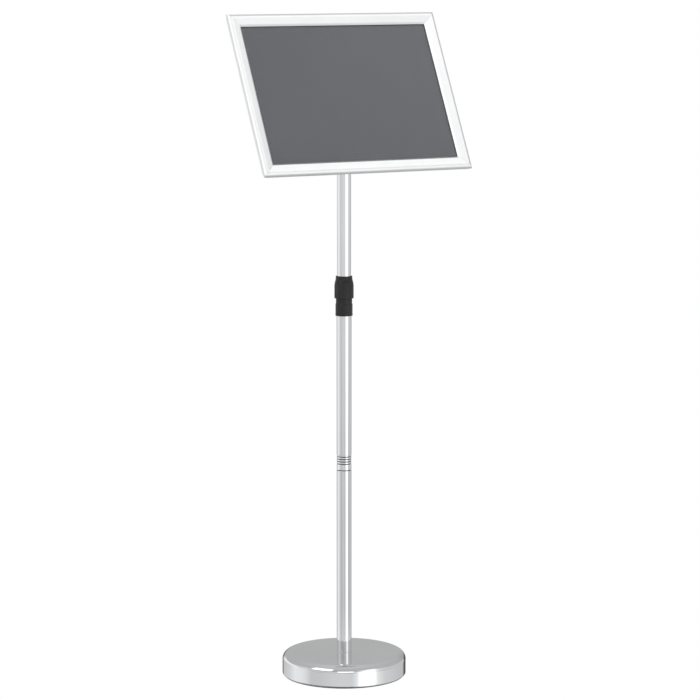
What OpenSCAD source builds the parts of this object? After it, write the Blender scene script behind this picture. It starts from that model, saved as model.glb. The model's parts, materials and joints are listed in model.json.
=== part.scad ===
// Free-standing sign stand: weighted round base, telescopic pole with a
// twist-lock, tilting head and an A3 snap frame that turns between landscape
// and portrait. Millimetres, +Z up, origin at the centre of the base on the
// floor. The sign faces -Y.

/* [Sign frame] */
// Outer width of the snap frame
frame_w = 453; // [400:1:700]
// Outer height of the snap frame
frame_h = 330; // [300:1:500]
// Width of a frame rail seen from the front
rail_w = 25; // [22:0.5:32]
// Lean of the sign back from vertical, degrees
sign_tilt = 26.68; // [0:1:90]

/* [Base] */
// Diameter of the base cover
base_d = 241.4; // [220:1:320]
// Height of the base
base_h = 45; // [42:1:60]
// Radius of the base shoulder
base_shoulder = 14.3; // [8:0.5:16]

/* [Pole] */
// Outer diameter of the two lower tubes
lower_d = 28.8; // [28.8:0.1:29.2]
// Wall of the lower tubes
lower_wall = 0.8; // [0.8:0.05:0.9]
// Outer diameter of the telescoping upper tube
upper_d = 26.8; // [26:0.1:26.8]
// Wall of the upper tube
upper_wall = 0.8; // [0.6:0.1:1.2]
// Height of the joint between the two lower tubes
joint_z = 405; // [300:1:500]
// Height of the top of the middle tube, inside the clamp
mid_top_z = 738; // [700:1:760]
// Height of the bottom of the upper tube
upper_bottom_z = 644; // [640:1:680]
// Height of the top of the upper tube
upper_top_z = 1099; // [1090:1:1100]

/* [Head] */
// Height of the tilt axis
hinge_z = 1124; // [1124:1:1130]
// Distance from the tilt axis to the back plane of the frame
back_n = 23; // [23:0.5:30]

/* [Hidden] */

base_r = base_d / 2;
lower_r = lower_d / 2;
lower_ri = lower_r - lower_wall;
upper_r = upper_d / 2;
upper_ri = upper_r - upper_wall;
hw = frame_w / 2;
hh = frame_h / 2;

// ---- base -------------------------------------------------------------

// Half section of a puck with a rounded shoulder, from z0 to z1, radius r
module puck_section(r, rs, z0, z1) {
    difference() {
        union() {
            translate([0, z0]) square([r - rs, z1 - z0]);
            translate([0, z0]) square([r, z1 - rs - z0]);
            translate([r - rs, z1 - rs]) circle(r = rs, $fn = 96);
        }
        translate([-2 * r, z0 - 1]) square([2 * r, z1 - z0 + 2]);
        translate([0, z0 - 40]) square([2 * r, 40]);
    }
}

module floor_pad() {
    color([0.07, 0.07, 0.08])
    difference() {
        cylinder(r = base_r - 3.2, h = 2, $fn = 128);
        translate([0, 0, -1]) cylinder(r = 17, h = 4, $fn = 64);
    }
}

module base_plate() {
    color([0.12, 0.12, 0.13])
    difference() {
        translate([0, 0, 2]) cylinder(r = base_r - 1.9, h = 2.2, $fn = 128);
        translate([0, 0, 1]) cylinder(r = 17, h = 5, $fn = 64);
    }
}

module base_weight() {
    color([0.55, 0.54, 0.52])
    difference() {
        rotate_extrude($fn = 128)
            puck_section(base_r - 1.8, base_shoulder - 1.8, 4.4, base_h - 1.4);
        translate([0, 0, 4]) cylinder(r = 17, h = 12, $fn = 64);
        translate([0, 0, 4]) cylinder(r = 5.6, h = base_h, $fn = 48);
    }
}

// Spun stainless shell with a rolled lower lip
module base_cover() {
    color([0.86, 0.87, 0.88])
    difference() {
        rotate_extrude($fn = 180)
        union() {
            difference() {
                puck_section(base_r, base_shoulder, 1.6, base_h);
                puck_section(base_r - 1.2, base_shoulder - 1.2, 0, base_h - 1.2);
            }
            translate([base_r - 0.85, 1.75]) circle(r = 0.85, $fn = 32);
        }
        translate([0, 0, base_h - 3]) cylinder(r = 5.4, h = 6, $fn = 48);
    }
}

module base_washer() {
    color([0.7, 0.7, 0.72])
    difference() {
        translate([0, 0, 13.8]) cylinder(r = 13, h = 2.1, $fn = 64);
        translate([0, 0, 13]) cylinder(r = 5.4, h = 4, $fn = 48);
    }
}

module base_bolt() {
    color([0.62, 0.63, 0.65])
    union() {
        translate([0, 0, 7.4]) cylinder(r = 9.8, h = 6.4, $fn = 6);
        translate([0, 0, 13.5]) cylinder(r = 4.95, h = 52.5, $fn = 48);
        translate([0, 0, 66]) cylinder(r1 = 4.95, r2 = 4.1, h = 1.2, $fn = 48);
    }
}

module foot_plug() {
    color([0.5, 0.51, 0.53])
    difference() {
        union() {
            translate([0, 0, base_h + 0.1]) cylinder(r = lower_ri - 0.02, h = 28, $fn = 96);
        }
        translate([0, 0, base_h]) cylinder(r = 5.02, h = 30, $fn = 48);
    }
}

// ---- pole -------------------------------------------------------------

module tube(r, ri, z0, z1) {
    difference() {
        translate([0, 0, z0]) cylinder(r = r, h = z1 - z0, $fn = 128);
        translate([0, 0, z0 - 1]) cylinder(r = ri, h = z1 - z0 + 2, $fn = 128);
    }
}

module lower_tube() {
    color([0.86, 0.87, 0.88]) tube(lower_r, lower_ri, base_h, joint_z);
}

// Threaded insert pressed into the top of the lower tube
module coupler_insert() {
    color([0.5, 0.51, 0.53])
    difference() {
        translate([0, 0, joint_z - 26]) cylinder(r = lower_ri - 0.02, h = 25.6, $fn = 96);
        translate([0, 0, joint_z - 30]) cylinder(r = 6.02, h = 40, $fn = 48);
    }
}

// Stud that screws the two lower tubes together
module coupler_stud() {
    color([0.66, 0.67, 0.69])
    union() {
        translate([0, 0, joint_z - 20.8]) cylinder(r1 = 5, r2 = 5.95, h = 1, $fn = 48);
        translate([0, 0, joint_z - 20]) cylinder(r = 5.95, h = 66, $fn = 48);
    }
}

// Grooved ring between the tubes
module coupler_ring() {
    zt = joint_z + 31;
    color([0.84, 0.85, 0.86])
    difference() {
        union() {
            translate([0, 0, joint_z + 0.5]) cylinder(r = lower_r - 0.1, h = 1.9, $fn = 128);
            translate([0, 0, joint_z]) cylinder(r = lower_r - 0.7, h = 3, $fn = 128);
            translate([0, 0, joint_z + 2]) cylinder(r = lower_r - 0.3, h = 28.4, $fn = 128);
            translate([0, 0, zt - 3]) cylinder(r = lower_r - 0.7, h = 3, $fn = 128);
        }
        for (k = [0 : 3])
            translate([0, 0, joint_z + 13.2 + 4.7 * k])
                rotate_extrude($fn = 128)
                    polygon([[lower_r + 0.5, -2.13], [12.9, -0.3], [12.9, 0.3], [lower_r + 0.5, 2.13]]);
        translate([0, 0, joint_z - 1]) cylinder(r = 6.02, h = 40, $fn = 48);
    }
}

// Plug pressed into the bottom of the middle tube, holds the stud
module mid_plug() {
    zt = joint_z + 31;
    color([0.5, 0.51, 0.53])
    difference() {
        translate([0, 0, zt + 0.2]) cylinder(r = lower_ri - 0.02, h = 16, $fn = 96);
        translate([0, 0, zt - 1]) cylinder(r = 5.97, h = 20, $fn = 48);
    }
}

module mid_tube() {
    color([0.86, 0.87, 0.88]) tube(lower_r, lower_ri, joint_z + 31, mid_top_z);
}

// ---- twist lock -------------------------------------------------------

// Collar, neck and threaded spigot fixed on top of the middle tube
module clamp_body() {
    color([0.10, 0.10, 0.105])
    difference() {
        rotate_extrude($fn = 128)
        polygon([
            [lower_r + 0.03, 707.4], [16.35, 707.2], [16.7, 708.0], [16.7, 728.6],
            [16.3, 730.2], [15.65, 731.2], [15.65, 740.8], [15.03, 740.9],
            [15.03, 762], [13.75, 762], [13.75, mid_top_z + 0.2],
            [lower_r + 0.03, mid_top_z + 0.2]
        ]);
        // three shallow grip recesses in the collar
        for (a = [0 : 60 : 359])
            rotate([0, 0, a + 12]) translate([17.8, 0, 719.4])
                cube([2.6, 9, 11], center = true);
    }
}

// Split grip ring squeezed on the upper tube
module clamp_collet() {
    color([0.16, 0.16, 0.17])
    difference() {
        rotate_extrude($fn = 96)
        polygon([
            [upper_r + 0.06, 762.4], [14.7, 762.4], [14.7, 765.4],
            [14.2, 776.8], [upper_r + 0.06, 776.8]
        ]);
        for (a = [0 : 60 : 359])
            rotate([0, 0, a]) translate([0, -0.6, 764.6]) cube([20, 1.2, 20]);
    }
}

// Knurled nut: a flared body with soft flutes
module clamp_nut() {
    color([0.11, 0.11, 0.115])
    difference() {
        rotate_extrude($fn = 144)
        polygon([
            [15.1, 741.1], [18.2, 741.1], [18.65, 742.2], [18.65, 766.2],
            [18.25, 769.4], [16.7, 774.6], [16.0, 777.0], [16.0, 783.2],
            [15.3, 784.1], [upper_r + 0.75, 784.1], [upper_r + 0.75, 777.6],
            [15.1, 771.2]
        ]);
        for (a = [0 : 45 : 359])
            rotate([0, 0, a + 7]) translate([27.7, 0, 743.4])
                cylinder(r = 9.95, h = 40, $fn = 96);
        // clearance over the spigot
        translate([0, 0, 740.5]) cylinder(r = 15.1, h = 29, $fn = 96);
    }
}

// ---- upper pole -------------------------------------------------------

// Sliding bush in the bottom of the upper tube
module guide_bush() {
    z0 = upper_bottom_z;
    color([0.13, 0.13, 0.14])
    difference() {
        union() {
            translate([0, 0, z0 - 14]) cylinder(r = lower_ri - 0.06, h = 13.8, $fn = 96);
            translate([0, 0, z0 - 1]) cylinder(r = upper_ri - 0.06, h = 21, $fn = 96);
        }
        translate([0, 0, z0 - 20]) cylinder(r = 8, h = 50, $fn = 64);
    }
}

module upper_tube() {
    color([0.86, 0.87, 0.88])
    difference() {
        tube(upper_r, upper_ri, upper_bottom_z, upper_top_z);
        // hole for the cap screw
        translate([0, 0, upper_top_z - 15]) rotate([-90, 0, 0])
            cylinder(r = 2.06, h = 30, $fn = 32);
    }
}

// Cap with a flat tongue that carries the tilt bolt
module tube_cap() {
    color([0.12, 0.12, 0.13])
    difference() {
        union() {
            translate([0, 0, upper_top_z - 28]) cylinder(r = upper_ri - 0.02, h = 28.2, $fn = 96);
            translate([0, 0, upper_top_z + 0.05]) cylinder(r = upper_r + 0.5, h = 3, $fn = 96);
            translate([-5, -10, upper_top_z + 2]) cube([10, 20, hinge_z - upper_top_z - 2]);
            translate([-5, 0, hinge_z]) rotate([0, 90, 0]) cylinder(r = 10, h = 10, $fn = 96);
        }
        translate([-10, 0, hinge_z]) rotate([0, 90, 0]) cylinder(r = 3.06, h = 20, $fn = 48);
        translate([0, 0, upper_top_z - 40]) cylinder(r = 8.5, h = 34, $fn = 64);
        translate([0, 0, upper_top_z - 15]) rotate([-90, 0, 0])
            cylinder(r = 2.02, h = 30, $fn = 32);
    }
}

// Pan-head screw that holds the cap in the tube
module cap_screw() {
    color([0.62, 0.63, 0.65])
    translate([0, 0, upper_top_z - 15]) rotate([-90, 0, 0])
    difference() {
        union() {
            translate([0, 0, 9.4]) cylinder(r = 1.98, h = 5, $fn = 32);
            translate([0, 0, upper_r + 0.02]) cylinder(r = 3.6, h = 1.1, $fn = 48);
            translate([0, 0, upper_r + 1.1]) cylinder(r1 = 3.6, r2 = 2.5, h = 0.9, $fn = 48);
        }
        translate([-2.6, -0.4, upper_r + 1.1]) cube([5.2, 0.8, 2]);
        translate([-0.4, -2.6, upper_r + 1.1]) cube([0.8, 5.2, 2]);
    }
}

// ---- tilting head -----------------------------------------------------

// Everything in the head is drawn with X along the tilt axis, Y up the sign
// and Z out of the sign's face, from the tilt axis
module at_head() {
    translate([0, 0, hinge_z]) rotate([90 - sign_tilt, 0, 0]) children();
}

// Two nylon washers either side of the tongue
module tilt_washers() {
    color([0.90, 0.90, 0.88])
    translate([0, 0, hinge_z]) rotate([0, 90, 0])
    for (x = [-6.0, 5.02])
        translate([0, 0, x])
        difference() {
            cylinder(r = 9, h = 0.98, $fn = 64);
            translate([0, 0, -1]) cylinder(r = 3.2, h = 3, $fn = 48);
        }
}

// Fork of bent steel: two cheeks on a round web
module tilt_bracket() {
    color([0.15, 0.15, 0.16])
    at_head()
    difference() {
        union() {
            translate([0, 0, 17.4]) cylinder(r = 32, h = 3, $fn = 128);
            for (s = [-1, 1])
                translate([s * 7.6 - 1.5, 0, 0]) {
                    rotate([0, 90, 0]) cylinder(r = 10, h = 3, $fn = 96);
                    translate([0, -10, 0]) cube([3, 20, 17.6]);
                }
        }
        translate([-20, 0, 0]) rotate([0, 90, 0]) cylinder(r = 3.15, h = 40, $fn = 48);
        translate([0, 0, 10]) cylinder(r = 4.02, h = 20, $fn = 48);
    }
}

// Carriage bolt on the tilt axis
module tilt_bolt() {
    color([0.66, 0.67, 0.69])
    at_head()
    union() {
        translate([-9.12, 0, 0]) rotate([0, 90, 0]) cylinder(r = 2.98, h = 32.6, $fn = 48);
        translate([-11.0, 0, 0]) rotate([0, 90, 0]) cylinder(r = 7, h = 1.88, $fn = 64);
        translate([-13.0, 0, 0]) rotate([0, 90, 0]) cylinder(r1 = 4.5, r2 = 7, h = 2, $fn = 64);
    }
}

module bracket_washer() {
    color([0.7, 0.7, 0.72])
    at_head()
    translate([9.14, 0, 0]) rotate([0, 90, 0])
    difference() {
        cylinder(r = 7, h = 1.4, $fn = 64);
        translate([0, 0, -1]) cylinder(r = 3.2, h = 4, $fn = 48);
    }
}

// Shoulder bolt that the frame turns on
module swivel_bolt() {
    color([0.66, 0.67, 0.69])
    at_head()
    union() {
        translate([0, 0, 11.6]) cylinder(r = 3.98, h = back_n - 9.6, $fn = 48);
        translate([0, 0, back_n + 1.25]) cylinder(r = 8, h = 1.6, $fn = 64);
    }
}

module swivel_nut() {
    color([0.62, 0.63, 0.65])
    at_head()
    translate([0, 0, 12.2])
    difference() {
        cylinder(r = 6.0, h = 5.15, $fn = 6);
        translate([0, 0, -1]) cylinder(r = 4.0, h = 8, $fn = 48);
    }
}

module swivel_washer() {
    color([0.90, 0.90, 0.88])
    at_head()
    translate([0, 0, 20.42])
    difference() {
        cylinder(r = 30, h = 0.7, $fn = 96);
        translate([0, 0, -1]) cylinder(r = 4.3, h = 3, $fn = 48);
    }
}

// Moulded knob with six lobes
module tilt_knob() {
    color([0.09, 0.09, 0.095])
    at_head()
    translate([10.7, 0, 0]) rotate([0, 90, 0])
    difference() {
        union() {
            cylinder(r = 9, h = 6, $fn = 64);
            translate([0, 0, 5]) cylinder(r = 14.2, h = 9, $fn = 96);
            translate([0, 0, 14]) cylinder(r1 = 14.2, r2 = 12.6, h = 1.6, $fn = 96);
        }
        for (a = [0 : 60 : 359])
            rotate([0, 0, a]) translate([17.2, 0, 4]) cylinder(r = 6, h = 14, $fn = 48);
        translate([0, 0, -1]) cylinder(r = 5.0, h = 15.2, $fn = 48);
    }
}

// Threaded insert moulded in the knob
module knob_insert() {
    color([0.78, 0.66, 0.38])
    at_head()
    translate([10.7, 0, 0]) rotate([0, 90, 0])
    difference() {
        cylinder(r = 4.98, h = 13, $fn = 48);
        translate([0, 0, -1]) cylinder(r = 3.03, h = 16, $fn = 48);
    }
}

// ---- frame ------------------------------------------------------------

module at_frame() {
    translate([0, 0, hinge_z]) rotate([90 - sign_tilt, 0, 0])
        translate([0, 0, back_n]) children();
}

screw_xy = [[-40, -40], [40, -40], [-40, 40], [40, 40]];

// Square steel plate screwed behind the back panel
module mount_plate() {
    color([0.15, 0.15, 0.16])
    at_frame()
    difference() {
        translate([0, 0, -1.85]) linear_extrude(height = 3)
            polygon(concat(arc(43, 43, 7, 0, 90, 12), arc(-43, 43, 7, 90, 180, 12),
                           arc(-43, -43, 7, 180, 270, 12), arc(43, -43, 7, 270, 360, 12)));
        translate([0, 0, -4]) cylinder(r = 4.02, h = 8, $fn = 48);
        for (p = screw_xy) translate([p[0], p[1], -4]) cylinder(r = 2.2, h = 8, $fn = 32);
    }
}

// Four countersunk screws through the panel and the plate
module plate_screws() {
    color([0.62, 0.63, 0.65])
    at_frame()
    for (p = screw_xy) translate([p[0], p[1], 0])
    difference() {
        union() {
            translate([0, 0, -6]) cylinder(r = 1.96, h = 8, $fn = 32);
            translate([0, 0, 1.5]) cylinder(r1 = 1.96, r2 = 3.4, h = 1.5, $fn = 32);
        }
        translate([-0.4, -2, 2.4]) cube([0.8, 4, 1]);
    }
}

module plate_nuts() {
    color([0.62, 0.63, 0.65])
    at_frame()
    for (p = screw_xy) translate([p[0], p[1], -5.1])
    difference() {
        cylinder(r = 4, h = 3.2, $fn = 6);
        translate([0, 0, -1]) cylinder(r = 2.0, h = 6, $fn = 32);
    }
}

module back_panel() {
    color([0.40, 0.405, 0.415])
    at_frame()
    difference() {
        translate([-hw + 14.5, -hh + 14.5, 1.2])
            cube([frame_w - 29, frame_h - 29, 1.9]);
        translate([0, 0, 0]) cylinder(r = 9, h = 6, $fn = 64);
        for (p = screw_xy) translate([p[0], p[1], 0]) {
            cylinder(r = 2.2, h = 6, $fn = 32);
            translate([0, 0, 1.45]) cylinder(r1 = 2.2, r2 = 4.0, h = 1.7, $fn = 32);
        }
    }
}

// Plain grey sheet that the poster lies on; it hides the screws
module backing_sheet() {
    color([0.40, 0.405, 0.415])
    at_frame()
    translate([-hw + 15.5, -hh + 15.5, 3.12]) cube([frame_w - 31, frame_h - 31, 0.3]);
}

module clear_sheet() {
    color([0.6, 0.62, 0.64, 0.35])
    at_frame()
    translate([-hw + 16.5, -hh + 16.5, 3.62]) cube([frame_w - 33, frame_h - 33, 0.5]);
}

// A mitred bar: the section is drawn with X inward from the outer edge and
// Y out of the face; the bar runs along +X, centred, with its outer edge at
// Y = 0 and its inner side towards -Y
module mitred_bar(len, gap) {
    intersection() {
        translate([-len / 2 - 1, 0, 0]) rotate([90, 0, 90])
            linear_extrude(height = len + 2) mirror([1, 0]) children();
        translate([0, 0, -5])
            linear_extrude(height = 40)
            polygon([[-len / 2 + gap, 0], [len / 2 - gap, 0],
                     [len / 2 - gap - 40, -40], [-len / 2 + gap + 40, -40]]);
    }
}

// Base rail: floor, raised stem and a round bead at the outer edge that the
// cover rail hooks round
module base_rail_section() {
    union() {
        translate([4.8, 0]) square([18.2, 1.1]);
        translate([4.8, 0]) square([1.4, 2.9]);
        translate([2.2, 1.6]) square([3.4, 1.2]);
        translate([2.2, 2.2]) circle(r = 1.12, $fn = 64);
    }
}

// Points of an arc about [cx, cy] from angle a0 to a1
function arc(cx, cy, r, a0, a1, n) =
    [for (k = [0 : n]) let (a = a0 + (a1 - a0) * k / n) [cx + r * cos(a), cy + r * sin(a)]];

// Cover rail: hook, outer wall, crown, slope, inner bevel and lip
module snap_rail_section() {
    difference() {
        polygon(concat(
            arc(2.2, 2.2, 2.2, 216, 180, 6),
            arc(5.3, 6.2, 5.3, 180, 79.5, 16),
            [[rail_w - 3.3, 8.55], [rail_w, 4.9], [rail_w, 4.2], [rail_w - 1.3, 4.2],
             [rail_w - 4.1, 7.42]],
            arc(5.5, 5.7, 4.5, 79.5, 180, 14),
            arc(2.2, 2.2, 2.2, 123, 61, 8),
            arc(2.2, 2.2, 1.12, 61, 216, 12)));
        translate([2.2, 2.2]) circle(r = 1.2, $fn = 64);
    }
}

module snap_bar(len) {
    difference() {
        mitred_bar(len, 0.25) snap_rail_section();
        // the hook and the foot of the wall stop short of each corner
        for (s = [-1, 1])
            translate([s * (len / 2 - 3) - 3.5, -6, -1]) cube([7, 7, 4.0]);
        // and the wall is notched, so that neighbours clear each other when open
        for (s = [-1, 1])
            translate([s * (len / 2 - 0.5) - 1.5, -1.5, 2]) cube([3, 3, 2.7]);
    }
}

module base_bar(len) {
    difference() {
        mitred_bar(len, 0.1) base_rail_section();
        for (s = [-1, 1])
            translate([s * (len / 2 - 3) - 3.5, -4.6, -1]) cube([7, 5.6, 6.0]);
    }
}

module base_rail_top()    { color([0.80, 0.81, 0.82]) at_frame() translate([0, hh, 0]) base_bar(frame_w); }
module base_rail_bottom() { color([0.80, 0.81, 0.82]) at_frame() rotate([0, 0, 180]) translate([0, hh, 0]) base_bar(frame_w); }
module base_rail_left()   { color([0.80, 0.81, 0.82]) at_frame() rotate([0, 0, 90]) translate([0, hw, 0]) base_bar(frame_h); }
module base_rail_right()  { color([0.80, 0.81, 0.82]) at_frame() rotate([0, 0, -90]) translate([0, hw, 0]) base_bar(frame_h); }

module snap_rail_top()    { color([0.93, 0.93, 0.94]) at_frame() translate([0, hh, 0]) snap_bar(frame_w); }
module snap_rail_bottom() { color([0.93, 0.93, 0.94]) at_frame() rotate([0, 0, 180]) translate([0, hh, 0]) snap_bar(frame_w); }
module snap_rail_left()   { color([0.93, 0.93, 0.94]) at_frame() rotate([0, 0, 90]) translate([0, hw, 0]) snap_bar(frame_h); }
module snap_rail_right()  { color([0.93, 0.93, 0.94]) at_frame() rotate([0, 0, -90]) translate([0, hw, 0]) snap_bar(frame_h); }

// L-shaped keys that join the base rails at the corners
module corner_keys() {
    color([0.55, 0.56, 0.58])
    at_frame()
    for (sx = [-1, 1], sy = [-1, 1])
        translate([sx * (hw - 6.5), sy * (hh - 6.5), 1.12]) {
            translate([sx > 0 ? -34 : 0, sy > 0 ? -7 : 0, 0]) cube([34, 7, 1.5]);
            translate([sx > 0 ? -7 : 0, sy > 0 ? -34 : 0, 0]) cube([7, 34, 1.5]);
        }
}

// One bow spring: a strip that rises in the middle
module bow_spring() {
    intersection() {
        translate([0, 3.5, -20.6 + 1.12]) rotate([90, 0, 0])
        difference() {
            cylinder(r = 24.4, h = 7, $fn = 128);
            translate([0, 0, -1]) cylinder(r = 23.8, h = 9, $fn = 128);
        }
        translate([-20, -5, 1.12]) cube([40, 10, 10]);
    }
}

module snap_springs() {
    color([0.72, 0.73, 0.75])
    at_frame() {
        for (sx = [-1, 1], sy = [-1, 1]) {
            translate([sx * 110, sy * (hh - 10.2), 0]) bow_spring();
            translate([sx * (hw - 10.2), sy * 75, 0]) rotate([0, 0, 90]) bow_spring();
        }
    }
}

floor_pad();
base_plate();
base_weight();
base_cover();
base_washer();
base_bolt();
foot_plug();
lower_tube();
coupler_insert();
coupler_stud();
coupler_ring();
mid_plug();
mid_tube();
clamp_body();
clamp_collet();
clamp_nut();
guide_bush();
upper_tube();
tube_cap();
cap_screw();
tilt_washers();
tilt_bracket();
tilt_bolt();
bracket_washer();
swivel_bolt();
swivel_nut();
swivel_washer();
tilt_knob();
knob_insert();
mount_plate();
plate_screws();
plate_nuts();
base_rail_top();
base_rail_bottom();
base_rail_left();
base_rail_right();
corner_keys();
snap_springs();
back_panel();
backing_sheet();
clear_sheet();
snap_rail_top();
snap_rail_bottom();
snap_rail_left();
snap_rail_right();
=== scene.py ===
import bpy, bmesh, math, json
from mathutils import Vector, Matrix

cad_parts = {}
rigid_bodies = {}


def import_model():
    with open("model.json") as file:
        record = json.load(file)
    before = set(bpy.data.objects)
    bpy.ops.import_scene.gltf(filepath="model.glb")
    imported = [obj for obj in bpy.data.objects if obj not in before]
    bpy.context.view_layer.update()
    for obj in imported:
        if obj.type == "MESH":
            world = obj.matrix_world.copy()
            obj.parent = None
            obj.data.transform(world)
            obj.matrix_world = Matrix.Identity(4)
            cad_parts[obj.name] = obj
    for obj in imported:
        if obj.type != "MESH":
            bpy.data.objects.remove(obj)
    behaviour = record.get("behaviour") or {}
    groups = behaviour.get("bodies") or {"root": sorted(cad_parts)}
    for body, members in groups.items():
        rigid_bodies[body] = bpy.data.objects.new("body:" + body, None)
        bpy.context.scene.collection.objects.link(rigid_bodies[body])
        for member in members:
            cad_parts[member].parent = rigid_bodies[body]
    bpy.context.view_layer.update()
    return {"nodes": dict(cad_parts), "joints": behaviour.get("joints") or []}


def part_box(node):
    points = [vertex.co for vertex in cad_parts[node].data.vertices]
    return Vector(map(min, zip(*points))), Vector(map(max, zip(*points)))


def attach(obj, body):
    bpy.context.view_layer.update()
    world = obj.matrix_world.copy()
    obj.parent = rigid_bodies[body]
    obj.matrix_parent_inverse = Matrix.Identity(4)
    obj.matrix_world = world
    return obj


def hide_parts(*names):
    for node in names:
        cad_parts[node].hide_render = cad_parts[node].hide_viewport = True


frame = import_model()
NODES = frame["nodes"]
JOINTS = {j["name"]: j for j in frame["joints"]}
MM = 0.001

# ------------------------------------------------------------------ placing
HINGE = Vector(JOINTS["sign_tilt"]["pos_m"])
NN = Vector(JOINTS["sign_turn"]["axis"]).normalized()   # out of the sign's face
UU = Vector((1, 0, 0))                                   # along the sign
VV = NN.cross(UU)                                        # up the sign
BACK_N = 23.0                                            # hinge to the frame's back plane, mm
HEAD = Matrix(((UU.x, VV.x, NN.x, HINGE.x), (UU.y, VV.y, NN.y, HINGE.y),
               (UU.z, VV.z, NN.z, HINGE.z), (0, 0, 0, 1)))
FRAME = HEAD @ Matrix.Translation((0, 0, BACK_N * MM))


# ------------------------------------------------------------------ materials
def nodes_of(name):
    m = bpy.data.materials.new(name)
    m.use_nodes = True
    nt = m.node_tree
    for n in list(nt.nodes):
        nt.nodes.remove(n)
    out = nt.nodes.new("ShaderNodeOutputMaterial")
    bs = nt.nodes.new("ShaderNodeBsdfPrincipled")
    nt.links.new(bs.outputs[0], out.inputs["Surface"])
    return m, nt, bs


def N(nt, kind, **kw):
    n = nt.nodes.new("ShaderNode" + kind)
    for k, v in kw.items():
        if k.startswith("i_"):
            n.inputs[k[2:]].default_value = v
        else:
            setattr(n, k, v)
    return n


def L(nt, a, b):
    nt.links.new(a, b)


def ramp(nt, fac, stops, interp="LINEAR"):
    r = nt.nodes.new("ShaderNodeValToRGB")
    r.color_ramp.interpolation = interp
    e = r.color_ramp.elements
    while len(e) > 1:
        e.remove(e[0])
    e[0].position = stops[0][0]
    e[0].color = grey(stops[0][1])
    for p, c in stops[1:]:
        k = e.new(p)
        k.color = grey(c)
    nt.links.new(fac, r.inputs[0])
    return r.outputs[0]


def grey(c):
    return (c, c, c, 1) if isinstance(c, (int, float)) else (c[0], c[1], c[2], 1)


def coords(nt, scale=(1, 1, 1), rot=(0, 0, 0)):
    tc = N(nt, "TexCoord")
    mp = N(nt, "Mapping")
    mp.inputs["Scale"].default_value = scale
    mp.inputs["Rotation"].default_value = rot
    L(nt, tc.outputs["Object"], mp.inputs["Vector"])
    return mp.outputs[0]


def noise(nt, vec, scale, detail=3.0, rough=0.5):
    n = N(nt, "TexNoise")
    n.inputs["Scale"].default_value = scale
    n.inputs["Detail"].default_value = detail
    n.inputs["Roughness"].default_value = rough
    L(nt, vec, n.inputs["Vector"])
    return n.outputs["Fac"]


def bump(nt, bs, height, strength, dist):
    b = N(nt, "Bump")
    b.inputs["Strength"].default_value = strength
    b.inputs["Distance"].default_value = dist
    L(nt, height, b.inputs["Height"])
    L(nt, b.outputs[0], bs.inputs["Normal"])
    return b


def mat_polished_tube():
    """Polished steel tube: near-mirror, with faint drawn lines along it and a trace of handling."""
    m, nt, bs = nodes_of("polished_tube")
    bs.inputs["Metallic"].default_value = 1.0
    v = coords(nt, (1, 1, 0.012))
    lines = noise(nt, v, 1400, 2)
    soft = noise(nt, coords(nt, (1, 1, 0.35)), 26, 3)
    L(nt, ramp(nt, soft, [(0.3, (0.83, 0.84, 0.855)), (0.7, (0.875, 0.88, 0.89))]), bs.inputs["Base Color"])
    mix = N(nt, "MixRGB")
    mix.inputs[0].default_value = 0.5
    L(nt, lines, mix.inputs[1]); L(nt, soft, mix.inputs[2])
    L(nt, ramp(nt, mix.outputs[0], [(0.3, 0.045), (0.7, 0.085)]), bs.inputs["Roughness"])
    bump(nt, bs, lines, 0.05, 0.00002)
    return m


def mat_coupler():
    """The tube's polish on the ring's outside; its turned grooves and end gap get painted shade (dark base colour) and
    a duller finish.
    """
    m, nt, bs = nodes_of("grooved_ring_painted_shade")
    bs.inputs["Metallic"].default_value = 1.0
    tc = N(nt, "TexCoord")
    flat = N(nt, "VectorMath", operation="MULTIPLY"); flat.inputs[1].default_value = (1, 1, 0)
    L(nt, tc.outputs["Object"], flat.inputs[0])
    ln = N(nt, "VectorMath", operation="LENGTH"); L(nt, flat.outputs[0], ln.inputs[0])
    # radius mask: below about 13.9 mm (groove floors, end gap) the colour is painted shade, standing in for the
    # grooves' own shading
    out = N(nt, "MapRange", interpolation_type="SMOOTHSTEP")
    out.inputs["From Min"].default_value = 0.0131; out.inputs["From Max"].default_value = 0.0139
    L(nt, ln.outputs["Value"], out.inputs["Value"])
    lines = noise(nt, coords(nt, (1, 1, 0.3)), 1400, 2)
    # painted shade: grooves and end gap dark grey 0.17, the polished outside light
    L(nt, ramp(nt, out.outputs["Result"], [(0.0, 0.17), (1.0, (0.90, 0.905, 0.915))]), bs.inputs["Base Color"])
    ro = N(nt, "MixRGB"); L(nt, out.outputs["Result"], ro.inputs[0])
    ro.inputs[1].default_value = (0.45, 0.45, 0.45, 1)
    L(nt, ramp(nt, lines, [(0.3, 0.05), (0.7, 0.09)]), ro.inputs[2])
    L(nt, ro.outputs[0], bs.inputs["Roughness"])
    bump(nt, bs, lines, 0.05, 0.00002)
    return m


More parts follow.
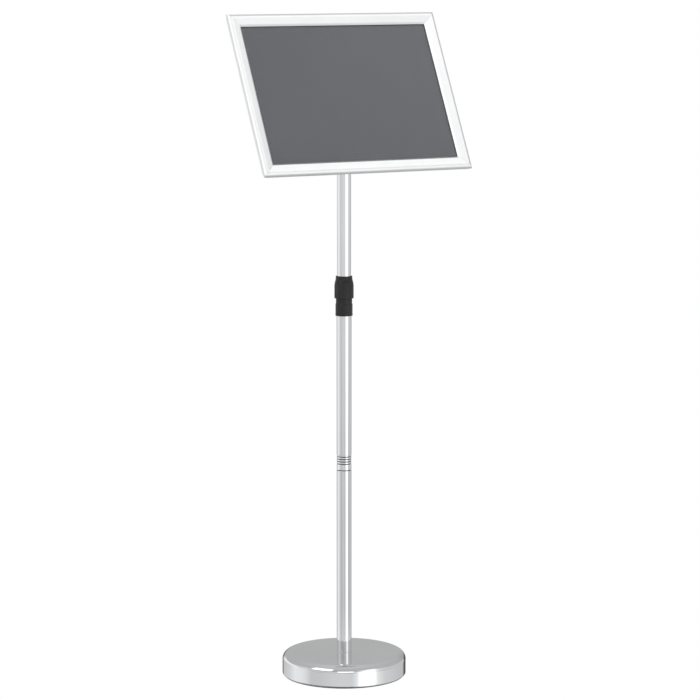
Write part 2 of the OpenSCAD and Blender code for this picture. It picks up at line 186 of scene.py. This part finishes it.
def mat_spun_cover():
    """Polished spun shell: mirror with faint rings from the spinning lathe and very light rub marks."""
    m, nt, bs = nodes_of("spun_cover")
    bs.inputs["Metallic"].default_value = 1.0
    tc = N(nt, "TexCoord")
    sep = N(nt, "SeparateXYZ")
    L(nt, tc.outputs["Object"], sep.inputs[0])
    r2 = N(nt, "Math", operation="MULTIPLY"); L(nt, sep.outputs[0], r2.inputs[0]); L(nt, sep.outputs[0], r2.inputs[1])
    r3 = N(nt, "Math", operation="MULTIPLY"); L(nt, sep.outputs[1], r3.inputs[0]); L(nt, sep.outputs[1], r3.inputs[1])
    ad = N(nt, "Math", operation="ADD"); L(nt, r2.outputs[0], ad.inputs[0]); L(nt, r3.outputs[0], ad.inputs[1])
    sq = N(nt, "Math", operation="SQRT"); L(nt, ad.outputs[0], sq.inputs[0])
    cmb = N(nt, "CombineXYZ"); L(nt, sq.outputs[0], cmb.inputs[0]); L(nt, sep.outputs[2], cmb.inputs[1])
    rings = noise(nt, cmb.outputs[0], 900, 3)
    cloud = noise(nt, tc.outputs["Object"], 14, 4, 0.55)
    L(nt, ramp(nt, cloud, [(0.3, (0.80, 0.81, 0.82)), (0.7, (0.85, 0.855, 0.865))]), bs.inputs["Base Color"])
    mix = N(nt, "MixRGB"); mix.inputs[0].default_value = 0.6
    L(nt, rings, mix.inputs[1]); L(nt, cloud, mix.inputs[2])
    L(nt, ramp(nt, mix.outputs[0], [(0.3, 0.05), (0.7, 0.10)]), bs.inputs["Roughness"])
    bump(nt, bs, rings, 0.04, 0.00003)
    return m


def mat_rail(axis):
    """Satin anodised aluminium extrusion: fine die lines along the rail."""
    m, nt, bs = nodes_of("satin_rail_" + axis)
    bs.inputs["Metallic"].default_value = 1.0
    sc = (0.02, 1, 1) if axis == "u" else (1, 0.02, 1)
    tc = N(nt, "TexCoord")
    rot = N(nt, "VectorRotate", rotation_type="X_AXIS")
    rot.inputs["Angle"].default_value = -(math.pi / 2 - math.atan2(NN.z, -NN.y))
    L(nt, tc.outputs["Object"], rot.inputs["Vector"])
    mp = N(nt, "Mapping"); mp.inputs["Scale"].default_value = sc
    L(nt, rot.outputs[0], mp.inputs["Vector"])
    lines = noise(nt, mp.outputs[0], 1600, 2)
    cloud = noise(nt, rot.outputs[0], 18, 3)
    L(nt, ramp(nt, cloud, [(0.3, (0.905, 0.91, 0.915)), (0.7, (0.935, 0.94, 0.945))]), bs.inputs["Base Color"])
    L(nt, ramp(nt, lines, [(0.3, 0.38), (0.7, 0.46)]), bs.inputs["Roughness"])
    bump(nt, bs, lines, 0.10, 0.00003)
    return m


def mat_plastic(name, c0, c1, rough0, rough1, scale=900, b=0.12, big=35, spec=0.5):
    """Moulded plastic: fine spark-eroded grain, a soft drift of tone."""
    m, nt, bs = nodes_of(name)
    v = coords(nt)
    g = noise(nt, v, scale, 2)
    d = noise(nt, v, big, 3)
    L(nt, ramp(nt, d, [(0.3, c0), (0.7, c1)]), bs.inputs["Base Color"])
    L(nt, ramp(nt, g, [(0.3, rough0), (0.7, rough1)]), bs.inputs["Roughness"])
    bs.inputs["Specular IOR Level"].default_value = spec
    bump(nt, bs, g, b, 0.00008)
    return m


def mat_metal(name, c0, c1, rough0, rough1, scale=420, b=0.1):
    m, nt, bs = nodes_of(name)
    bs.inputs["Metallic"].default_value = 1.0
    v = coords(nt)
    g = noise(nt, v, scale, 3)
    d = noise(nt, v, 60, 4)
    L(nt, ramp(nt, d, [(0.3, c0), (0.7, c1)]), bs.inputs["Base Color"])
    L(nt, ramp(nt, g, [(0.3, rough0), (0.7, rough1)]), bs.inputs["Roughness"])
    bump(nt, bs, g, b, 0.00005)
    return m


def mat_powder():
    m, nt, bs = nodes_of("black_powder_coat")
    v = coords(nt)
    g = noise(nt, v, 1500, 2)
    d = noise(nt, v, 40, 3)
    L(nt, ramp(nt, d, [(0.3, 0.018), (0.7, 0.026)]), bs.inputs["Base Color"])
    L(nt, ramp(nt, g, [(0.3, 0.38), (0.7, 0.55)]), bs.inputs["Roughness"])
    bump(nt, bs, g, 0.35, 0.00008)
    return m


def mat_panel():
    """Dark grey plastic board with a fine leather-like grain."""
    m, nt, bs = nodes_of("grey_board")
    v = coords(nt)
    g = noise(nt, v, 1300, 3, 0.6)
    d = noise(nt, v, 7, 3)
    L(nt, ramp(nt, d, [(0.3, (0.0478, 0.0487, 0.0553)), (0.7, (0.0516, 0.0525, 0.0592))]), bs.inputs["Base Color"])
    L(nt, ramp(nt, g, [(0.3, 0.5), (0.7, 0.65)]), bs.inputs["Roughness"])
    bs.inputs["Specular IOR Level"].default_value = 0.3
    bump(nt, bs, g, 0.12, 0.0001)
    return m


def mat_clear():
    """Thin anti-glare film: nearly clear, with a dull sheen."""
    m, nt, bs = nodes_of("anti_glare_film")
    v = coords(nt)
    g = noise(nt, v, 1100, 2)
    L(nt, ramp(nt, g, [(0.3, (0.30, 0.31, 0.32)), (0.7, (0.36, 0.37, 0.38))]), bs.inputs["Base Color"])
    L(nt, ramp(nt, g, [(0.3, 0.42), (0.7, 0.52)]), bs.inputs["Roughness"])
    bs.inputs["Alpha"].default_value = 0.10
    return m


def mat_foam():
    m, nt, bs = nodes_of("foam_rubber")
    v = coords(nt)
    vo = N(nt, "TexVoronoi"); vo.inputs["Scale"].default_value = 900
    L(nt, v, vo.inputs["Vector"])
    L(nt, ramp(nt, vo.outputs["Distance"], [(0.0, 0.010), (0.5, 0.022)]), bs.inputs["Base Color"])
    bs.inputs["Roughness"].default_value = 0.9
    bump(nt, bs, vo.outputs["Distance"], 0.4, 0.0002)
    return m


def mat_cement():
    m, nt, bs = nodes_of("cast_cement")
    v = coords(nt)
    d = noise(nt, v, 60, 6, 0.65)
    g = noise(nt, v, 700, 3)
    L(nt, ramp(nt, d, [(0.3, (0.40, 0.39, 0.37)), (0.7, (0.55, 0.54, 0.51))]), bs.inputs["Base Color"])
    L(nt, ramp(nt, g, [(0.3, 0.85), (0.7, 0.95)]), bs.inputs["Roughness"])
    bump(nt, bs, d, 0.5, 0.0006)
    return m


M_TUBE = mat_polished_tube()
M_RING = mat_coupler()
M_COVER = mat_spun_cover()
M_RAIL_U = mat_rail("u")
M_RAIL_V = mat_rail("v")
M_BLACK = mat_plastic("black_moulded", 0.0255, 0.033, 0.26, 0.34, spec=0.14)
M_GREYP = mat_plastic("grey_moulded", 0.07, 0.09, 0.4, 0.55)
M_NYLON = mat_plastic("natural_nylon", (0.74, 0.73, 0.69), (0.82, 0.81, 0.77), 0.35, 0.5, b=0.06)
M_ZINC = mat_metal("zinc_plate", (0.60, 0.61, 0.63), (0.72, 0.72, 0.72), 0.22, 0.38)
M_SPRING = mat_metal("spring_strip", (0.42, 0.43, 0.45), (0.52, 0.52, 0.53), 0.25, 0.4)
M_BRASS = mat_metal("turned_brass", (0.72, 0.53, 0.26), (0.80, 0.62, 0.33), 0.2, 0.35)
M_POWDER = mat_powder()
M_PANEL = mat_panel()
M_CLEAR = mat_clear()
M_FOAM = mat_foam()
M_CEMENT = mat_cement()
M_BASERAIL = mat_metal("mill_rail", (0.70, 0.71, 0.72), (0.78, 0.79, 0.80), 0.3, 0.42, scale=700)


# ------------------------------------------------------------------ meshes
def add_object(name, me, body, mat, replaces=(), angle=32):
    o = bpy.data.objects.new(name, me)
    bpy.context.scene.collection.objects.link(o)
    me.materials.append(mat)
    for p in me.polygons:
        p.use_smooth = True
    me.set_sharp_from_angle(angle=math.radians(angle))
    wn = o.modifiers.new("faces", "WEIGHTED_NORMAL")
    wn.mode = "FACE_AREA"
    wn.weight = 50
    wn.keep_sharp = True
    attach(o, body)
    if replaces:
        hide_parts(*replaces)
    return o


def clean_mesh(name, bm):
    bmesh.ops.remove_doubles(bm, verts=bm.verts, dist=1e-7)
    bmesh.ops.recalc_face_normals(bm, faces=bm.faces)
    me = bpy.data.meshes.new(name)
    bm.to_mesh(me)
    bm.free()
    return me


def rounded(points, default=0.0, seg=5):
    """Closed outline with each corner (x, y[, radius]) rounded."""
    out = []
    n = len(points)
    for i in range(n):
        p = Vector(points[i][:2]); r = points[i][2] if len(points[i]) > 2 else default
        a = Vector(points[i - 1][:2]) - p; b = Vector(points[(i + 1) % n][:2]) - p
        la, lb = a.length, b.length
        if r <= 0 or la < 1e-9 or lb < 1e-9:
            out.append((p.x, p.y)); continue
        a.normalize(); b.normalize()
        ang = a.angle(b)
        if ang > math.radians(176):
            out.append((p.x, p.y)); continue
        t = r / math.tan(ang / 2)
        t = min(t, la * 0.49, lb * 0.49)
        r = t * math.tan(ang / 2)
        bis = (a + b).normalized()
        c = p + bis * (r / math.sin(ang / 2))
        s = p + a * t - c; e = p + b * t - c
        sa = math.atan2(s.y, s.x); ea = math.atan2(e.y, e.x)
        d = ea - sa
        while d > math.pi: d -= 2 * math.pi
        while d < -math.pi: d += 2 * math.pi
        for k in range(seg + 1):
            q = sa + d * k / seg
            out.append((c.x + r * math.cos(q), c.y + r * math.sin(q)))
    return out


def arc(cx, cy, r, a0, a1, n):
    return [(cx + r * math.cos(math.radians(a0 + (a1 - a0) * k / n)),
             cy + r * math.sin(math.radians(a0 + (a1 - a0) * k / n))) for k in range(n + 1)]


def lathe(name, prof, body, mat, replaces=(), seg=160, shape=None, angle=32, at=None):
    """Closed outline (r, z) in mm turned about the Z axis. shape(r, z, theta) may move the radius."""
    bm = bmesh.new()
    rings = []
    for (r, z) in prof:
        ring = []
        for k in range(seg):
            th = 2 * math.pi * k / seg
            rr = shape(r, z, th) if shape else r
            ring.append(bm.verts.new((rr * math.cos(th) * MM, rr * math.sin(th) * MM, z * MM)))
        rings.append(ring)
    n = len(rings)
    for i in range(n):
        A, B = rings[i], rings[(i + 1) % n]
        for k in range(seg):
            k2 = (k + 1) % seg
            bm.faces.new((A[k], A[k2], B[k2], B[k]))
    me = clean_mesh(name, bm)
    if at is not None:
        me.transform(at)
    return add_object(name, me, body, mat, replaces, angle)


def solid_lathe(name, prof, body, mat, slot, replaces=(), seg=96, at=None, shape=None, angle=32):
    """Open outline from the axis to the axis: a solid turned piece."""
    bm = bmesh.new()
    rings = []
    for (r, z) in prof:
        if r < 1e-6:
            rings.append([bm.verts.new((0, 0, z * MM))])
            continue
        ring = []
        for k in range(seg):
            th = 2 * math.pi * k / seg
            rr = shape(r, z, th) if shape else r
            ring.append(bm.verts.new((rr * math.cos(th) * MM, rr * math.sin(th) * MM, z * MM)))
        rings.append(ring)
    for i in range(len(rings) - 1):
        A, B = rings[i], rings[i + 1]
        for k in range(seg):
            k2 = (k + 1) % seg
            if len(A) == 1 and len(B) == 1:
                continue
            if len(A) == 1:
                bm.faces.new((A[0], B[k2], B[k]))
            elif len(B) == 1:
                bm.faces.new((A[k], A[k2], B[0]))
            else:
                bm.faces.new((A[k], A[k2], B[k2], B[k]))
    me = clean_mesh(name, bm)
    if at is not None:
        me.transform(at)
    return add_object(name, me, body, mat, replaces, angle)


def box_of(node):
    lo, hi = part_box(node)
    return lo / MM, hi / MM


# ------------------------------------------------------------------ base
lo, hi = box_of("base_cover")
BR = 120.7
BH = hi.z
RS = 14.3
cover = ([(5.5, BH)] + [(8.0, BH)] + [(BR - RS, BH)]
         + arc(BR - RS, BH - RS, RS, 88, 2, 26)
         + [(BR, BH - RS - 0.8), (BR, 5.4)]
         + arc(BR - 3.4, 5.0, 3.4, 0, -68, 10)
         + [(BR - 2.75, 1.62), (BR - 3.2, 1.9)]
         + arc(BR - 3.6, 5.0, 2.3, -50, 0, 6)
         + [(BR - 1.25, BH - RS)]
         + arc(BR - RS, BH - RS, RS - 1.2, 0, 90, 18)
         + [(5.5, BH - 1.2)])
lathe("cover_shell", cover, "stand", M_COVER, ("base_cover",), seg=288, angle=40)

lo, hi = box_of("floor_pad")
pr = hi.x
pad = rounded([(17, 0, 0.3), (pr, 0, 0.7), (pr, hi.z, 0.4), (17, hi.z, 0.3)], seg=4)
lathe("floor_pad_foam", pad, "stand", M_FOAM, ("floor_pad",), seg=192)

# ------------------------------------------------------------------ tubes
def tube_piece(name, node, r, ri, body, end=0.25):
    lo, hi = box_of(node)
    z0, z1 = lo.z, hi.z
    prof = rounded([(ri, z0, end * 0.6), (r, z0, end), (r, z1, end), (ri, z1, end * 0.6)], seg=4)
    return lathe(name, prof, body, M_TUBE, (node,), seg=160)

LR, LRI, UR, URI = 14.4, 13.6, 13.4, 12.6
tube_piece("lower_pole", "lower_tube", LR, LRI, "stand", 0.35)
tube_piece("middle_pole", "mid_tube", LR, LRI, "stand", 0.35)
tube_piece("upper_pole_tube", "upper_tube", UR, URI, "upper_pole", 0.3)

# grooved ring between the two lower tubes
lo, hi = box_of("coupler_ring")
z0, z1 = lo.z, hi.z
pts = [(6.1, z0, 0.2), (13.0, z0, 0.1), (13.0, z0 + 1.5, 0.1), (14.3, z0 + 1.6, 0.25),
       (14.3, z0 + 3.2, 0.3), (14.2, z0 + 3.6, 0.2)]
for k in range(4):
    zc = z0 + 13.2 + 4.7 * k
    pts += [(14.2, zc - 1.15, 0.16), (12.9, zc - 0.3, 0.15), (12.9, zc + 0.3, 0.15), (14.2, zc + 1.15, 0.16)]
pts += [(14.2, z1 - 0.8, 0.2), (13.7, z1 - 0.6, 0.1), (13.7, z1, 0.1), (6.1, z1, 0.2)]
lathe("coupler_grooved", rounded(pts, seg=5), "stand", M_RING, ("coupler_ring",), seg=160, angle=50)

# ------------------------------------------------------------------ twist lock
lo, hi = box_of("clamp_body")
cz = lo.z + 1.1
body_pts = [(14.45, cz - 1.1, 0.3), (16.62, cz - 1.1, 0.6), (16.7, cz + 2, 0.0), (16.7, cz + 20.0, 1.2),
            (15.65, cz + 23.4, 1.4), (15.6, cz + 32.4, 0.1), (15.03, cz + 32.6, 0.05), (15.03, 761.8, 0.3),
            (13.8, 762, 0.2), (13.8, 738.25, 0.1), (14.45, 738.25, 0.1)]

def collar_shape(r, z, th):
    """Shallow moulded grip facets round the collar."""
    if r < 14.6 or z > cz + 22.6 or z < cz + 0.2:
        return r
    a = (th * 6 / (2 * math.pi) + 0.2) % 1.0 - 0.5
    w = max(0.0, 1 - (abs(a) / 0.36) ** 4)
    up = min(1.0, max(0.0, (cz + 21.0 - z) / 3.0)) * min(1.0, max(0.0, (z - cz - 1.5) / 2.5))
    return r - 0.32 * w * up

prof = []
q = rounded(body_pts, seg=6)
for i in range(len(q)):
    a, b = q[i], q[(i + 1) % len(q)]
    prof.append(a)
    if abs(b[1] - a[1]) > 4 and a[0] > 14.6 and b[0] > 14.6 and a[1] < cz + 24:
        n = int(abs(b[1] - a[1]) / 1.2)
        for k in range(1, n):
            prof.append((a[0] + (b[0] - a[0]) * k / n, a[1] + (b[1] - a[1]) * k / n))
lathe("lock_collar", prof, "stand", M_BLACK, ("clamp_body",), seg=240, shape=collar_shape, angle=50)

lo, hi = box_of("clamp_nut")
n0, n1 = lo.z, hi.z
nut_pts = [(15.1, n0, 0.2), (18.25, n0, 0.3), (18.62, n0 + 0.7, 0.4), (18.62, n0 + 24.5, 3.0), (17.95, n0 + 29.5, 3.0),
           (16.3, n0 + 36.0, 2.0), (15.96, n0 + 39.0, 1.0), (15.96, n1 - 0.3, 0.45), (15.4, n1, 0.35), (14.2, n1, 0.35),
           (14.2, n1 - 6.5, 0.3), (15.12, n0 + 30.1, 0.3)]
q = rounded(nut_pts, seg=6)
prof = []
for i in range(len(q)):
    a, b = q[i], q[(i + 1) % len(q)]
    prof.append(a)
    if abs(b[1] - a[1]) > 1.2 and a[0] > 15.5 and b[0] > 15.5:
        n = max(2, int(abs(b[1] - a[1]) / 0.7))
        for k in range(1, n):
            prof.append((a[0] + (b[0] - a[0]) * k / n, a[1] + (b[1] - a[1]) * k / n))

def nut_shape(r, z, th):
    """Eight scalloped flutes, open at the top where the nut tapers."""
    if r < 15.5 or z < n0 + 1.0:
        return r
    a = (math.degrees(th) - 7 + 22.5) % 45 - 22.5
    d = math.radians(a)
    q2 = 9.95 ** 2 - (27.7 * math.sin(d)) ** 2
    if q2 <= 0:
        return r
    f = 27.7 * math.cos(d) - math.sqrt(q2)
    t = min(1.0, max(0.0, (z - n0 - 1.6) / 2.2))
    t = t * t * (3 - 2 * t)
    f = f * t + 40 * (1 - t)
    # smooth minimum of the two radii
    k = 0.10
    h = max(0.0, min(1.0, 0.5 + 0.5 * (f - r) / k))
    return f * (1 - h) + r * h - k * h * (1 - h)

lathe("lock_nut_shell", prof, "lock_nut", M_BLACK, ("clamp_nut",), seg=360, shape=nut_shape, angle=60)


# ------------------------------------------------------------------ snap rails
def sweep(bm, prof, half, gap, mitre=True, cuts=(), at=None):
    """Closed outline (d, z) in mm swept along X; the ends are mitred when asked."""
    xs = [-1.0] + [c for c in cuts] + [1.0]
    secs = []
    for s in xs:
        ring = []
        for (d, z) in prof:
            e = half - gap - (d if mitre else 0)
            if mitre and abs(s) == 1 and d < 1.05 and z < 4.3:
                e -= 1.7          # the wall is notched at each corner
            ring.append(bm.verts.new((s * e * MM, -d * MM, z * MM)))
        secs.append(ring)
    n = len(prof)
    for i in range(len(secs) - 1):
        for k in range(n):
            k2 = (k + 1) % n
            bm.faces.new((secs[i][k], secs[i][k2], secs[i + 1][k2], secs[i + 1][k]))
    bm.faces.new(secs[0]); bm.faces.new(list(reversed(secs[-1])))


shell = ([(0.0, 3.0)] + arc(8.0, 3.4, 8.0, 180, 77.47, 28)[:-1]
         + rounded([(9.736, 11.21), (21.7, 8.55, 1.3), (25.0, 4.95, 0.45), (25.0, 4.2, 0.2), (23.75, 4.2, 0.2), (20.9, 7.42, 0.8), (9.519, 10.233)], seg=6)[:-1]
         + arc(8.0, 3.4, 7.0, 77.47, 180, 20) + [(1.0, 3.0)])
hook = (arc(2.2, 2.2, 2.2, 215, 180, 6) + [(0.0, 3.1), (0.99, 3.1), (0.99, 4.03)] + arc(2.2, 2.2, 2.2, 122, 61, 8)
        + arc(2.2, 2.2, 1.2, 61, 215, 14))
hw, hh = 226.5, 165.0

def rail(name, node, body, mat, half, turn):
    bm = bmesh.new()
    sweep(bm, shell, half, 0.12, True, cuts=(-0.5, 0.0, 0.5))
    sweep(bm, hook, half - 6.6, 0, False)
    me = clean_mesh(name, bm)
    shift = hh if half == hw else hw
    me.transform(FRAME @ Matrix.Rotation(math.radians(turn), 4, "Z") @ Matrix.Translation((0, shift * MM, 0)))
    o = add_object(name, me, body, mat, (node,), 28)
    return o

rail("snap_cover_top", "snap_rail_top", "rail_top", M_RAIL_U, hw, 0)
rail("snap_cover_bottom", "snap_rail_bottom", "rail_bottom", M_RAIL_U, hw, 180)
rail("snap_cover_left", "snap_rail_left", "rail_left", M_RAIL_V, hh, 90)
rail("snap_cover_right", "snap_rail_right", "rail_right", M_RAIL_V, hh, -90)

# ------------------------------------------------------------------ CAD nodes kept, with finishes
KEEP = {
    "base_plate": (M_BLACK, 0.4), "base_weight": (M_CEMENT, 0.6), "base_washer": (M_ZINC, 0.15),
    "base_bolt": (M_ZINC, 0.3), "foot_plug": (M_ZINC, 0.3), "coupler_insert": (M_ZINC, 0.2),
    "coupler_stud": (M_ZINC, 0.1), "mid_plug": (M_ZINC, 0.3), "clamp_collet": (M_GREYP, 0.1),
    "guide_bush": (M_GREYP, 0.3), "tube_cap": (M_BLACK, 0.5), "cap_screw": (M_ZINC, 0.1),
    "tilt_washers": (M_NYLON, 0.1), "tilt_bracket": (M_POWDER, 0.35), "tilt_bolt": (M_ZINC, 0.2),
    "bracket_washer": (M_ZINC, 0.12), "swivel_bolt": (M_ZINC, 0.2), "swivel_nut": (M_ZINC, 0.25),
    "swivel_washer": (M_NYLON, 0.1), "tilt_knob": (M_BLACK, 0.9), "knob_insert": (M_BRASS, 0.15),
    "mount_plate": (M_POWDER, 0.0), "plate_screws": (M_ZINC, 0.1), "plate_nuts": (M_ZINC, 0.2),
    "base_rail_top": (M_BASERAIL, 0.12), "base_rail_bottom": (M_BASERAIL, 0.12),
    "base_rail_left": (M_BASERAIL, 0.12), "base_rail_right": (M_BASERAIL, 0.12),
    "corner_keys": (M_ZINC, 0.1), "snap_springs": (M_SPRING, 0.08), "back_panel": (M_PANEL, 0.2), "backing_sheet": (M_PANEL, 0.0),
    "clear_sheet": (M_CLEAR, 0.0),
}
for name, (mat, bev) in KEEP.items():
    o = NODES[name]
    o.data.materials.clear()
    o.data.materials.append(mat)
    for p in o.data.polygons:
        p.use_smooth = True
    o.data.set_sharp_from_angle(angle=math.radians(30))
    w = o.modifiers.new("weld", "WELD")
    w.merge_threshold = 1e-6
    if bev:
        b = o.modifiers.new("edge", "BEVEL")
        b.width = bev * MM
        b.segments = 3
        b.limit_method = "ANGLE"
        b.angle_limit = math.radians(35)
        b.use_clamp_overlap = True
    wn = o.modifiers.new("faces", "WEIGHTED_NORMAL")
    wn.mode = "FACE_AREA"
    wn.weight = 50
    wn.keep_sharp = True

# ------------------------------------------------------------------ stage, light, camera
A0 = -29.838          # azimuth of the camera, degrees
PAN = -0.122
PITCH = 7.999
DIST, HIGH = 5.40385, 1.39947
a = math.radians(A0)
ab = math.radians(A0 + PAN)
pos = Vector((math.sin(a) * DIST, -math.cos(a) * DIST, HIGH))
back = Vector((math.sin(ab) * math.cos(math.radians(PITCH)), -math.cos(ab) * math.cos(math.radians(PITCH)),
               math.sin(math.radians(PITCH))))
cam = bpy.data.cameras.new("camera")
cam.lens = 145.47
cam.sensor_width = 36.0
cam.clip_end = 100
co = bpy.data.objects.new("camera", cam)
bpy.context.scene.collection.objects.link(co)
co.location = pos
co.rotation_mode = "QUATERNION"
co.rotation_quaternion = (-back).to_track_quat("-Z", "Y")
bpy.context.scene.camera = co

# floor: one large pale disc
bm = bmesh.new()
bmesh.ops.create_circle(bm, cap_ends=True, segments=96, radius=14)
me = bpy.data.meshes.new("studio_floor")
bm.to_mesh(me); bm.free()
fl = bpy.data.objects.new("studio_floor", me)
bpy.context.scene.collection.objects.link(fl)
mf, nt, bs = nodes_of("studio_floor")
bs.inputs["Base Color"].default_value = (0.93, 0.93, 0.93, 1)
bs.inputs["Roughness"].default_value = 0.9
bs.inputs["Specular IOR Level"].default_value = 0.1
white = N(nt, "Emission")
white.inputs["Strength"].default_value = 1.0
seen = N(nt, "LightPath")
both = N(nt, "MixShader")
L(nt, seen.outputs["Is Camera Ray"], both.inputs[0])
L(nt, bs.outputs[0], both.inputs[1]); L(nt, white.outputs[0], both.inputs[2])
for n in nt.nodes:
    if n.type == "OUTPUT_MATERIAL":
        L(nt, both.outputs[0], n.inputs["Surface"])
me.materials.append(mf)
fl.visible_glossy = False

# studio: pale walls with soft boxes, as a procedural world
world = bpy.data.worlds.new("studio")
bpy.context.scene.world = world
world.use_nodes = True
wt = world.node_tree
for n in list(wt.nodes):
    wt.nodes.remove(n)
wo = wt.nodes.new("ShaderNodeOutputWorld")
tc = N(wt, "TexCoord")
rot = N(wt, "VectorRotate", rotation_type="Z_AXIS")
rot.inputs["Angle"].default_value = -a          # so that azimuth 0 is the studio's front
L(wt, tc.outputs["Generated"], rot.inputs["Vector"])
sep = N(wt, "SeparateXYZ"); L(wt, rot.outputs[0], sep.inputs[0])
neg = N(wt, "Math", operation="MULTIPLY"); neg.inputs[1].default_value = -1; L(wt, sep.outputs[1], neg.inputs[0])
az = N(wt, "Math", operation="ARCTAN2"); L(wt, sep.outputs[0], az.inputs[0]); L(wt, neg.outputs[0], az.inputs[1])
azd = N(wt, "Math", operation="MULTIPLY"); azd.inputs[1].default_value = 180 / math.pi; L(wt, az.outputs[0], azd.inputs[0])
els = N(wt, "Math", operation="ARCSINE"); L(wt, sep.outputs[2], els.inputs[0])
eld = N(wt, "Math", operation="MULTIPLY"); eld.inputs[1].default_value = 180 / math.pi; L(wt, els.outputs[0], eld.inputs[0])
AZ, EL = azd.outputs[0], eld.outputs[0]


def step(v, lo, hi, a=0.0, b=1.0):
    m = N(wt, "MapRange", interpolation_type="SMOOTHSTEP")
    m.inputs["From Min"].default_value = lo; m.inputs["From Max"].default_value = hi
    m.inputs["To Min"].default_value = a; m.inputs["To Max"].default_value = b
    L(wt, v, m.inputs["Value"])
    return m.outputs["Result"]


def mul(x, y):
    m = N(wt, "Math", operation="MULTIPLY")
    for i, q in enumerate((x, y)):
        if isinstance(q, (int, float)): m.inputs[i].default_value = q
        else: L(wt, q, m.inputs[i])
    return m.outputs[0]


def lerp(x, y, t):
    m = N(wt, "Mix", data_type="FLOAT")
    for i, q in ((0, t), (2, x), (3, y)):
        if isinstance(q, (int, float)): m.inputs[i].default_value = q
        else: L(wt, q, m.inputs[i])
    return m.outputs[0]


def patch(base, val, az0, az1, el0, el1, fa=4, fe=3):
    t = mul(mul(step(AZ, az0 - fa, az0 + fa), step(AZ, az1 - fa, az1 + fa, 1, 0)),
            mul(step(EL, el0 - fe, el0 + fe), step(EL, el1 - fe, el1 + fe, 1, 0)))
    return lerp(base, val, t)


# the walls by azimuth: at eye level, lower down, and a little above
mr = N(wt, "MapRange")
mr.inputs["From Min"].default_value = -180; mr.inputs["From Max"].default_value = 180
L(wt, AZ, mr.inputs["Value"])


def around(stops):
    return mul(ramp(wt, mr.outputs[0], [((p + 180) / 360, v / 2) for p, v in stops]), 2.0)


H = around([(-180, 0.50), (-172, 0.16), (-162, 0.16), (-152, 0.62), (-125, 0.74), (-104, 0.95), (-88, 0.92), (-76, 0.84),
            (-64, 0.66), (-42, 0.69), (-20, 0.74), (0, 0.76), (14, 0.76), (24, 0.95), (32, 1.5), (57, 1.45), (66, 0.95),
            (82, 0.74), (104, 0.68), (132, 0.60), (144, 0.55), (150, 0.10), (162, 0.08), (168, 0.45), (180, 0.50)])
H9 = around([(-180, 0.50), (-172, 0.16), (-162, 0.16), (-152, 0.55), (-125, 0.70), (-104, 0.95), (-88, 0.86), (-76, 0.80),
             (-58, 0.60), (-42, 0.50), (-20, 0.62), (0, 0.64), (12, 0.50), (22, 0.62), (32, 1.6), (56, 1.55), (62, 0.75),
             (72, 0.50), (92, 0.52), (112, 0.60), (144, 0.60), (150, 0.10), (162, 0.08), (168, 0.45), (180, 0.50)])
H14 = around([(-180, 0.49), (-150, 0.50), (-125, 0.48), (-98, 0.58), (-77, 0.72), (-58, 0.54), (-42, 0.42), (-10, 0.42),
              (5, 0.47), (20, 0.50), (30, 0.72), (44, 1.25), (56, 1.30), (66, 0.66), (89, 0.53), (113, 0.51), (150, 0.42),
              (180, 0.49)])
low = lerp(lerp(H, H9, step(EL, -4.5, -12.5)), H, step(EL, -13.3, -14.3))
sky = ramp(wt, step(EL, 0, 90, 0, 1), [(0.0, 0.50), (0.12, 0.50), (0.45, 0.52), (0.8, 0.58), (1.0, 0.62)])
lum = lerp(low, H14, step(EL, -1, 9))
lum = lerp(lum, sky, step(EL, 18, 30))
# the floor near the stand, lighter to the right and behind
floor = around([(-180, 0.60), (-130, 0.56), (-110, 0.14), (20, 0.12), (36, 0.64), (84, 0.64), (100, 0.40), (130, 0.56), (180, 0.60)])
floor = lerp(floor, 0.12, step(EL, -62, -76))
lum = lerp(lum, floor, step(EL, -26, -42))
# soft boxes and reflectors
lum = patch(lum, 2.0, -64, -24, 17, 44)
lum = patch(lum, 2.0, -12, 17, 2.5, 12, 2, 1.5)
lum = patch(lum, 1.0, -150, -95, -4, 9, 8, 5)

bg = N(wt, "Background"); L(wt, lum, bg.inputs["Color"]); bg.inputs["Strength"].default_value = 1.0
bgw = N(wt, "Background"); bgw.inputs["Color"].default_value = (1, 1, 1, 1); bgw.inputs["Strength"].default_value = 1.0
lp = N(wt, "LightPath")
mx = N(wt, "MixShader")
L(wt, lp.outputs["Is Camera Ray"], mx.inputs[0]); L(wt, bg.outputs[0], mx.inputs[1]); L(wt, bgw.outputs[0], mx.inputs[2])
L(wt, mx.outputs[0], wo.inputs["Surface"])

# key soft box over the sign's side of the room
def area(name, az_deg, el_deg, dist, size, power, target=(0, 0, 0.9)):
    l = bpy.data.lights.new(name, "AREA")
    l.shape = "DISK"
    l.size = size
    l.energy = power
    o = bpy.data.objects.new(name, l)
    bpy.context.scene.collection.objects.link(o)
    th, e = math.radians(A0 + az_deg), math.radians(el_deg)
    d = Vector((math.sin(th) * math.cos(e), -math.cos(th) * math.cos(e), math.sin(e)))
    o.location = Vector(target) + d * dist
    o.rotation_mode = "QUATERNION"
    o.rotation_quaternion = d.to_track_quat("Z", "Y")
    return o

key = area("key", 103.7, 52.6, 4.0, 1.2, 205)
key.visible_glossy = False
# a large reflector for the sign's satin rails alone
fill = area("rail_fill", 74, 50, 3.0, 2.8, 14.0, HINGE)
front = area("rail_fill_front", 2, 44, 3.0, 2.8, 9.0, HINGE)
rails = bpy.data.collections.new("satin_rails")
for o in bpy.data.objects:
    if o.name.startswith("snap_cover_"):
        rails.objects.link(o)
fill.light_linking.receiver_collection = rails
front.light_linking.receiver_collection = rails

vs = bpy.context.scene.view_settings
vs.view_transform = "Standard"
vs.look = "None"
vs.exposure = 0.0
vs.gamma = 1.0
